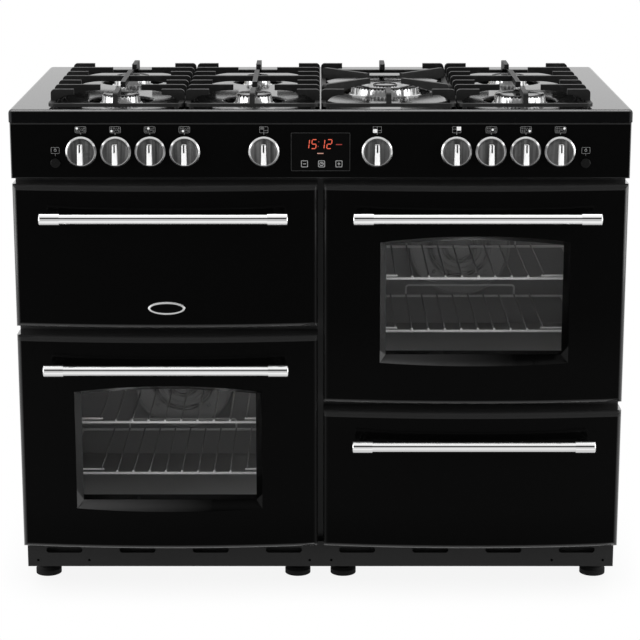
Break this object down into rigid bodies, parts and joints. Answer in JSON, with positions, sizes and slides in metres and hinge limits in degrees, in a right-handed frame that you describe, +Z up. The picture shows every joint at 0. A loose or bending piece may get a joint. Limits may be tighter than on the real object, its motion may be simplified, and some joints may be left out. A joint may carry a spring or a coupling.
{
  "type": "gas range cooker",
  "caption": "Wide black range cooker with a gas hob under cast-iron pan supports, bowed grill and oven doors with arched windows, a storage drawer and a knob panel.",
  "frame": {"origin": "floor level under the middle of the overall box", "axes": "+X to the cooker's right seen from the front, +Y to its back, +Z up"},
  "size_m": [1.1, 0.6564, 0.928],
  "materials": {
    "shell_paint": "satin black paint",
    "zinc_sheet": "dull zinc",
    "frame_paint": "satin black enamel",
    "plinth_paint": "satin charcoal",
    "foot_plastic": "matte black",
    "hob_enamel": "gloss black enamel",
    "burner_alloy": "bright cast aluminium",
    "cap_enamel": "matte black enamel",
    "electrode_ceramic": "white ceramic",
    "fascia_enamel": "gloss black enamel",
    "display_plastic": "gloss black",
    "bezel_metal": "satin",
    "tap_brass": "cast",
    "pipe_steel": "drawn tube",
    "hinge_steel": "plated",
    "seal_rubber": "matte",
    "liner_enamel": "dark grey enamel",
    "fan_steel": "pressed",
    "motor_plastic": "matte",
    "baffle_enamel": "dark grey enamel",
    "lamp_glass": "frosted",
    "element_steel": "oxidised",
    "shelf_chrome": "bright wire",
    "pan_enamel": "black enamel",
    "box_paint": "satin grey",
    "knob_metal": "graphite satin",
    "support_iron": "matte black enamel",
    "button_plastic": "gloss black",
    "door_enamel": "gloss black enamel",
    "panel_enamel": "dark enamel",
    "handle_chrome": "polished",
    "window_glass": "tinted"
  },
  "bodies": {
    "cabinet": {"back_panel": "zinc_sheet", "burner_bases": "burner_alloy", "burner_caps": "cap_enamel", "burner_crowns": "burner_alloy", "carcass": "shell_paint", "clock_display": "display_plastic", "control_fascia": "fascia_enamel", "door_seals": "seal_rubber", "drawer_rails": "zinc_sheet", "fan_baffles": "baffle_enamel", "fan_motors": "motor_plastic", "front_frame": "frame_paint", "gas_manifold": "pipe_steel", "grill_liner": "liner_enamel", "grill_pan": "pan_enamel", "heating_elements": "element_steel", "hinge_brackets": "hinge_steel", "hob_panel": "hob_enamel", "knob_bezels": "bezel_metal", "left_oven_liner": "liner_enamel", "levelling_feet": "foot_plastic", "oven_lamps": "lamp_glass", "oven_shelves": "shelf_chrome", "plinth": "plinth_paint", "right_oven_liner": "liner_enamel", "shelf_ladders": "shelf_chrome", "spark_electrodes": "electrode_ceramic", "taps_and_switches": "tap_brass"},
    "knob_centre_front": {"knob_centre_front": "knob_metal"},
    "knob_centre_rear": {"knob_centre_rear": "knob_metal"},
    "knob_front_left": {"knob_front_left": "knob_metal"},
    "knob_front_right": {"knob_front_right": "knob_metal"},
    "knob_grill": {"knob_grill": "knob_metal"},
    "knob_left_oven": {"knob_left_oven": "knob_metal"},
    "knob_rear_left": {"knob_rear_left": "knob_metal"},
    "knob_rear_right": {"knob_rear_right": "knob_metal"},
    "knob_right_oven": {"knob_right_oven": "knob_metal"},
    "knob_wok": {"knob_wok": "knob_metal"},
    "support_centre": {"support_centre": "support_iron"},
    "support_left": {"support_left": "support_iron"},
    "support_right": {"support_right": "support_iron"},
    "support_wok": {"support_wok": "support_iron"},
    "left_light_button": {"left_light_button": "button_plastic"},
    "right_light_button": {"right_light_button": "button_plastic"},
    "left_fan": {"left_fan": "fan_steel"},
    "right_fan": {"right_fan": "fan_steel"},
    "grill_door": {"grill_door_handle": "handle_chrome", "grill_door_panel": "panel_enamel", "grill_door_skin": "door_enamel"},
    "left_oven_door": {"left_oven_door_glass": "window_glass", "left_oven_door_handle": "handle_chrome", "left_oven_door_panel": "panel_enamel", "left_oven_door_skin": "door_enamel"},
    "right_oven_door": {"right_oven_door_glass": "window_glass", "right_oven_door_handle": "handle_chrome", "right_oven_door_panel": "panel_enamel", "right_oven_door_skin": "door_enamel"},
    "drawer": {"drawer_box": "box_paint", "drawer_handle": "handle_chrome", "drawer_skin": "door_enamel"}
  },
  "joints": [
    {"name": "grill_door_hinge", "type": "hinge", "parent": "cabinet", "child": "grill_door", "pos_m": [-0.276, -0.26175, 0.521], "axis": [1, 0, 0], "range_deg": [0, 90]},
    {"name": "left_oven_door_hinge", "type": "hinge", "parent": "cabinet", "child": "left_oven_door", "pos_m": [-0.276, -0.26175, 0.103], "axis": [1, 0, 0], "range_deg": [0, 90]},
    {"name": "right_oven_door_hinge", "type": "hinge", "parent": "cabinet", "child": "right_oven_door", "pos_m": [0.276, -0.26175, 0.379], "axis": [1, 0, 0], "range_deg": [0, 90]},
    {"name": "drawer_slide", "type": "slide", "parent": "cabinet", "child": "drawer", "axis": [0, -1, 0], "range_m": [0, 0.28]},
    {"name": "knob_rear_left_turn", "type": "hinge", "parent": "cabinet", "child": "knob_rear_left", "pos_m": [-0.423, -0.26925, 0.825], "axis": [0, -1, 0], "range_deg": [0, 210]},
    {"name": "knob_front_left_turn", "type": "hinge", "parent": "cabinet", "child": "knob_front_left", "pos_m": [-0.362, -0.26925, 0.825], "axis": [0, -1, 0], "range_deg": [0, 210]},
    {"name": "knob_centre_rear_turn", "type": "hinge", "parent": "cabinet", "child": "knob_centre_rear", "pos_m": [-0.301, -0.26925, 0.825], "axis": [0, -1, 0], "range_deg": [0, 210]},
    {"name": "knob_centre_front_turn", "type": "hinge", "parent": "cabinet", "child": "knob_centre_front", "pos_m": [-0.24, -0.26925, 0.825], "axis": [0, -1, 0], "range_deg": [0, 210]},
    {"name": "knob_grill_turn", "type": "hinge", "parent": "cabinet", "child": "knob_grill", "pos_m": [-0.1, -0.26925, 0.825], "axis": [0, -1, 0], "range_deg": [-270, 0]},
    {"name": "knob_left_oven_turn", "type": "hinge", "parent": "cabinet", "child": "knob_left_oven", "pos_m": [0.1, -0.26925, 0.825], "axis": [0, -1, 0], "range_deg": [-270, 0]},
    {"name": "knob_right_oven_turn", "type": "hinge", "parent": "cabinet", "child": "knob_right_oven", "pos_m": [0.24, -0.26925, 0.825], "axis": [0, -1, 0], "range_deg": [-270, 0]},
    {"name": "knob_wok_turn", "type": "hinge", "parent": "cabinet", "child": "knob_wok", "pos_m": [0.301, -0.26925, 0.825], "axis": [0, -1, 0], "range_deg": [0, 210]},
    {"name": "knob_front_right_turn", "type": "hinge", "parent": "cabinet", "child": "knob_front_right", "pos_m": [0.362, -0.26925, 0.825], "axis": [0, -1, 0], "range_deg": [0, 210]},
    {"name": "knob_rear_right_turn", "type": "hinge", "parent": "cabinet", "child": "knob_rear_right", "pos_m": [0.423, -0.26925, 0.825], "axis": [0, -1, 0], "range_deg": [0, 210]},
    {"name": "left_light_button_press", "type": "slide", "parent": "cabinet", "child": "left_light_button", "axis": [0, 1, 0], "range_m": [0, 0.0025], "stiffness_N_per_m": 400},
    {"name": "right_light_button_press", "type": "slide", "parent": "cabinet", "child": "right_light_button", "axis": [0, 1, 0], "range_m": [0, 0.0025], "stiffness_N_per_m": 400},
    {"name": "left_fan_spin", "type": "hinge", "parent": "cabinet", "child": "left_fan", "pos_m": [-0.276, 0.16825, 0.29], "axis": [0, -1, 0], "continuous": true},
    {"name": "right_fan_spin", "type": "hinge", "parent": "cabinet", "child": "right_fan", "pos_m": [0.276, 0.16825, 0.566], "axis": [0, -1, 0], "continuous": true},
    {"name": "support_left_lift", "type": "slide", "parent": "cabinet", "child": "support_left", "axis": [0, 0, 1], "range_m": [0, 0.12]},
    {"name": "support_centre_lift", "type": "slide", "parent": "cabinet", "child": "support_centre", "axis": [0, 0, 1], "range_m": [0, 0.12]},
    {"name": "support_wok_lift", "type": "slide", "parent": "cabinet", "child": "support_wok", "axis": [0, 0, 1], "range_m": [0, 0.12]},
    {"name": "support_right_lift", "type": "slide", "parent": "cabinet", "child": "support_right", "axis": [0, 0, 1], "range_m": [0, 0.12]}
  ]
}
